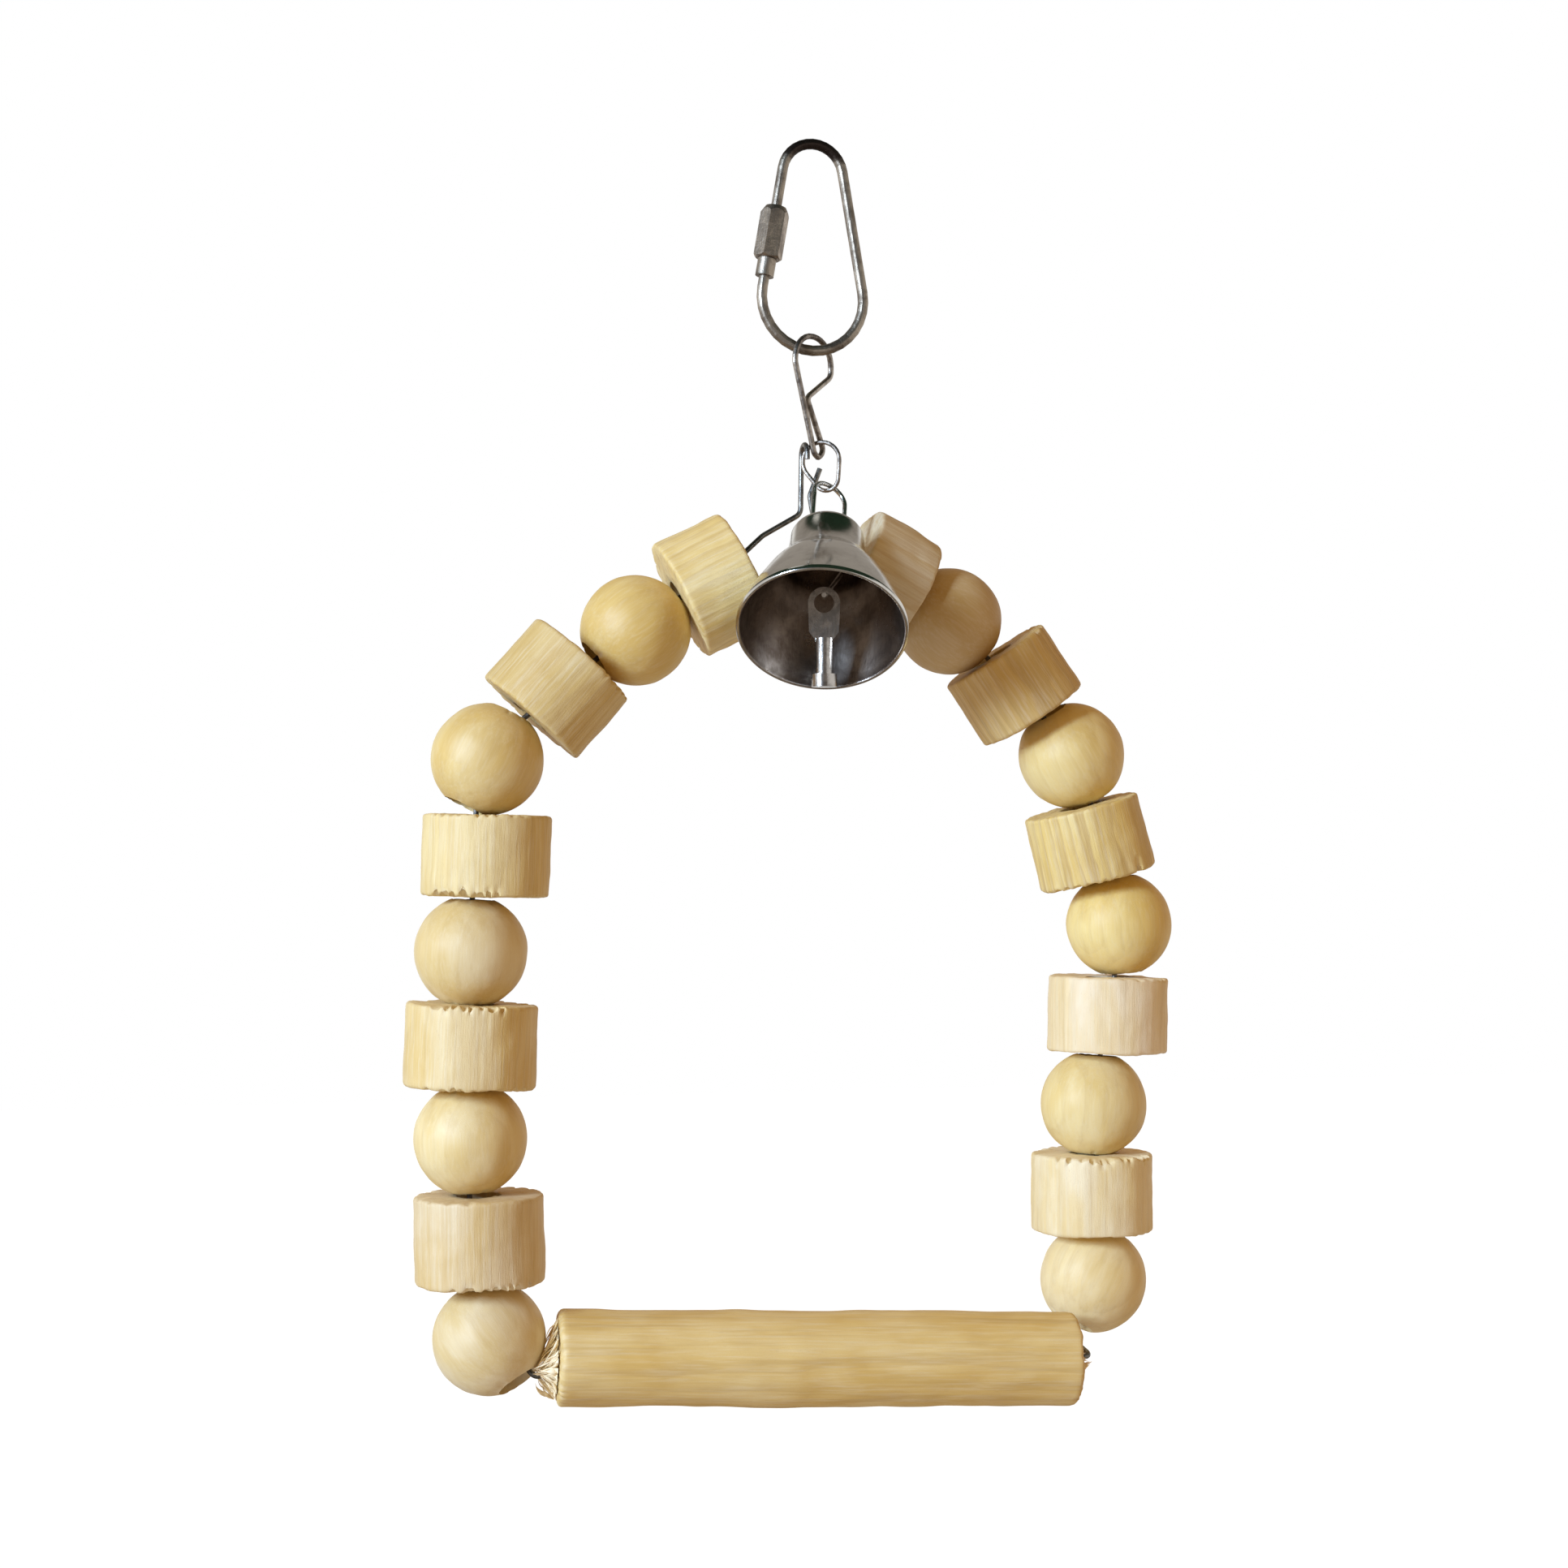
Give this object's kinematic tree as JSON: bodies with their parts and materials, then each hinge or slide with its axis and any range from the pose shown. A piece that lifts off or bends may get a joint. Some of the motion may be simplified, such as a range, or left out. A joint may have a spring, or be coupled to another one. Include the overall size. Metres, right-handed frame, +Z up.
{
  "type": "bird swing",
  "caption": "Hanging bird swing: a wire arch strung with wooden balls and blocks, a wooden perch, a small bell and a screw link to hang it by.",
  "frame": {"origin": "inside top of the screw link, where the cage bar or hook bears", "axes": "+Z up, +X to the right seen from the front, -Y to the front, where the bell hangs; the perch runs nearly along X"},
  "size_m": [0.1488, 0.0502, 0.2381],
  "materials": {
    "link_steel": "satin",
    "nut_steel": "satin",
    "chain_steel": "satin",
    "arch_steel": "satin",
    "bell_nickel": "polished, a little dull",
    "ball_wood": "bare sanded pine",
    "block_wood": "bare sawn pine",
    "perch_wood": "bare pine dowel"
  },
  "bodies": {
    "link": {"quick_link": "link_steel"},
    "nut": {"quick_link_nut": "nut_steel"},
    "upper_link": {"upper_chain_link": "chain_steel"},
    "lower_link": {"lower_chain_link": "chain_steel"},
    "arch": {"arch_wire": "arch_steel"},
    "bell": {"bell": "bell_nickel", "bell_loop": "bell_nickel"},
    "clapper": {"clapper": "bell_nickel"},
    "perch": {"perch": "perch_wood"},
    "left_ball_1": {"left_ball_1": "ball_wood"},
    "left_ball_2": {"left_ball_2": "ball_wood"},
    "left_ball_3": {"left_ball_3": "ball_wood"},
    "left_ball_4": {"left_ball_4": "ball_wood"},
    "left_ball_5": {"left_ball_5": "ball_wood"},
    "right_ball_1": {"right_ball_1": "ball_wood"},
    "right_ball_2": {"right_ball_2": "ball_wood"},
    "right_ball_3": {"right_ball_3": "ball_wood"},
    "right_ball_4": {"right_ball_4": "ball_wood"},
    "right_ball_5": {"right_ball_5": "ball_wood"},
    "left_block_1": {"left_block_1": "block_wood"},
    "left_block_2": {"left_block_2": "block_wood"},
    "left_block_3": {"left_block_3": "block_wood"},
    "left_block_4": {"left_block_4": "block_wood"},
    "left_block_5": {"left_block_5": "block_wood"},
    "right_block_1": {"right_block_1": "block_wood"},
    "right_block_2": {"right_block_2": "block_wood"},
    "right_block_3": {"right_block_3": "block_wood"},
    "right_block_4": {"right_block_4": "block_wood"},
    "right_block_5": {"right_block_5": "block_wood"}
  },
  "joints": [
    {"name": "nut_slide", "type": "slide", "parent": "link", "child": "nut", "axis": [0.1702, 0, 0.9854], "range_m": [0, 0.0074]},
    {"name": "upper_link_swing", "type": "hinge", "parent": "link", "child": "upper_link", "pos_m": [0, 0, -0.0383], "axis": [1, 0, 0], "range_deg": [-25, 25]},
    {"name": "lower_link_swing", "type": "hinge", "parent": "upper_link", "child": "lower_link", "pos_m": [0.00162, 0, -0.0591], "axis": [-0.5592, -0.829, 0], "range_deg": [0, 12]},
    {"name": "arch_swing", "type": "hinge", "parent": "lower_link", "child": "arch", "pos_m": [-0.00112, 0.00185, -0.05769], "axis": [1, 0, 0], "range_deg": [0, 25]},
    {"name": "bell_swing", "type": "hinge", "parent": "lower_link", "child": "bell", "pos_m": [0.00311, -0.001, -0.06462], "axis": [-0.9613, 0.2756, 0], "range_deg": [0, 40]},
    {"name": "clapper_swing", "type": "hinge", "parent": "bell", "child": "clapper", "pos_m": [-0.00292, -0.01784, -0.08662], "axis": [-0.2756, -0.9613, 0], "range_deg": [-35, 35]},
    {"name": "perch_spin", "type": "hinge", "parent": "arch", "child": "perch", "pos_m": [0, -0.0044, -0.22554], "axis": [0.9953, -0.0906, -0.0349], "continuous": true},
    {"name": "left_ball_1_spin", "type": "hinge", "parent": "arch", "child": "left_ball_1", "pos_m": [-0.05996, 0.00161, -0.22006], "axis": [-0.4875, 0.439, 0.7547], "continuous": true},
    {"name": "left_ball_2_spin", "type": "hinge", "parent": "arch", "child": "left_ball_2", "pos_m": [-0.06354, 0.00171, -0.18423], "axis": [-0.0506, 0.0013, 0.9987], "continuous": true},
    {"name": "left_ball_3_spin", "type": "hinge", "parent": "arch", "child": "left_ball_3", "pos_m": [-0.06359, 0.00171, -0.15064], "axis": [0.0392, -0.001, 0.9992], "continuous": true},
    {"name": "left_ball_4_spin", "type": "hinge", "parent": "arch", "child": "left_ball_4", "pos_m": [-0.0608, 0.00164, -0.11592], "axis": [0.446, -0.0117, 0.8949], "continuous": true},
    {"name": "left_ball_5_spin", "type": "hinge", "parent": "arch", "child": "left_ball_5", "pos_m": [-0.03369, 0.00093, -0.09184], "axis": [0.8057, -0.0211, 0.592], "continuous": true},
    {"name": "right_ball_1_spin", "type": "hinge", "parent": "arch", "child": "right_ball_1", "pos_m": [0.05699, 0.00312, -0.21472], "axis": [0.483, 0.1294, 0.866], "continuous": true},
    {"name": "right_ball_2_spin", "type": "hinge", "parent": "arch", "child": "right_ball_2", "pos_m": [0.05717, 0.00312, -0.18114], "axis": [0.0819, 0.0026, 0.9966], "continuous": true},
    {"name": "right_ball_3_spin", "type": "hinge", "parent": "arch", "child": "right_ball_3", "pos_m": [0.06272, 0.0033, -0.14647], "axis": [-0.0662, -0.0021, 0.9978], "continuous": true},
    {"name": "right_ball_4_spin", "type": "hinge", "parent": "arch", "child": "right_ball_4", "pos_m": [0.0529, 0.00299, -0.11373], "axis": [-0.5133, -0.0161, 0.8581], "continuous": true},
    {"name": "right_ball_5_spin", "type": "hinge", "parent": "arch", "child": "right_ball_5", "pos_m": [0.02746, 0.00219, -0.08837], "axis": [-0.804, -0.0253, 0.5941], "continuous": true},
    {"name": "left_block_1_spin", "type": "hinge", "parent": "arch", "child": "left_block_1", "pos_m": [-0.06191, 0.00167, -0.20216], "axis": [-0.0122, 0.0003, 0.9999], "continuous": true},
    {"name": "left_block_2_spin", "type": "hinge", "parent": "arch", "child": "left_block_2", "pos_m": [-0.06357, 0.00171, -0.16744], "axis": [0.0384, -0.001, 0.9993], "continuous": true},
    {"name": "left_block_3_spin", "type": "hinge", "parent": "arch", "child": "left_block_3", "pos_m": [-0.06092, 0.00164, -0.13338], "axis": [0.0244, -0.0006, 0.9997], "continuous": true},
    {"name": "left_block_4_spin", "type": "hinge", "parent": "arch", "child": "left_block_4", "pos_m": [-0.0482, 0.00131, -0.1028], "axis": [0.6518, -0.0858, 0.7536], "continuous": true},
    {"name": "left_block_5_spin", "type": "hinge", "parent": "arch", "child": "left_block_5", "pos_m": [-0.01931, 0.00055, -0.0832], "axis": [0.8821, -0.1005, 0.4602], "continuous": true},
    {"name": "right_block_1_spin", "type": "hinge", "parent": "arch", "child": "right_block_1", "pos_m": [0.05676, 0.00311, -0.19793], "axis": [-0.0017, -0.0001, 1], "continuous": true},
    {"name": "right_block_2_spin", "type": "hinge", "parent": "arch", "child": "right_block_2", "pos_m": [0.06026, 0.00322, -0.16386], "axis": [0.0244, 0.0008, 0.9997], "continuous": true},
    {"name": "right_block_3_spin", "type": "hinge", "parent": "arch", "child": "right_block_3", "pos_m": [0.05658, 0.0031, -0.13047], "axis": [-0.2587, -0.0081, 0.9659], "continuous": true},
    {"name": "right_block_4_spin", "type": "hinge", "parent": "arch", "child": "right_block_4", "pos_m": [0.04086, 0.00261, -0.10037], "axis": [-0.5606, 0.0412, 0.8271], "continuous": true},
    {"name": "right_block_5_spin", "type": "hinge", "parent": "arch", "child": "right_block_5", "pos_m": [0.0137, 0.00176, -0.08105], "axis": [-0.8825, -0.0277, 0.4695], "continuous": true}
  ]
}
